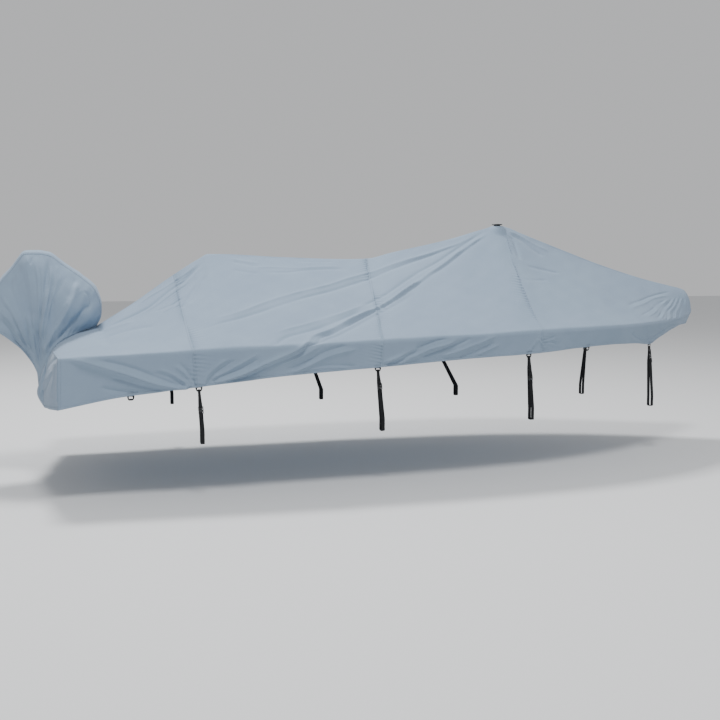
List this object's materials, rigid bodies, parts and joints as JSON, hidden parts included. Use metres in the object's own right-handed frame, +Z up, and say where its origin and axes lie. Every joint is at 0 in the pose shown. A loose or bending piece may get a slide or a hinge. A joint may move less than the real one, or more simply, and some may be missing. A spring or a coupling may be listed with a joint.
{
  "type": "fitted boat cover",
  "caption": "Fitted blue-grey canvas cover for an open boat, peaked over two support poles, with a hood for the outboard motor and black tie-down straps.",
  "frame": {"origin": "underside of the cloth at its highest point, where the forward support pole's tip holds it up", "axes": "+X towards the bow, +Y to port, +Z up"},
  "size_m": [5.8876, 2.1975, 1.5175],
  "materials": {
    "canvas": "matt coated canvas, blue-grey",
    "webbing": "woven black webbing",
    "buckle_plastic": "moulded black plastic",
    "cap_plastic": "moulded black plastic"
  },
  "bodies": {
    "root": {"panel_aft": "canvas", "panel_mid": "canvas", "panel_fore": "canvas", "panel_bow": "canvas", "panel_stern": "canvas", "hood_side_starboard": "canvas", "hood_side_port": "canvas", "hood_gusset": "canvas", "pole_cap": "cap_plastic", "tab_starboard_1": "webbing", "tab_starboard_2": "webbing", "tab_starboard_3": "webbing", "tab_starboard_4": "webbing", "tab_starboard_5": "webbing", "tab_starboard_6": "webbing", "tab_port_1": "webbing", "tab_port_2": "webbing", "tab_port_3": "webbing", "tab_port_4": "webbing", "tab_port_5": "webbing", "tab_port_6": "webbing", "strap_starboard_2": "webbing", "strap_starboard_3": "webbing", "strap_starboard_4": "webbing", "strap_starboard_6": "webbing", "strap_port_2": "webbing", "strap_port_3": "webbing", "strap_port_4": "webbing", "strap_port_6": "webbing", "buckle_starboard_2": "buckle_plastic", "buckle_starboard_3": "buckle_plastic", "buckle_starboard_4": "buckle_plastic", "buckle_starboard_6": "buckle_plastic", "buckle_port_2": "buckle_plastic", "buckle_port_3": "buckle_plastic", "buckle_port_4": "buckle_plastic", "buckle_port_6": "buckle_plastic"}
  },
  "joints": []
}
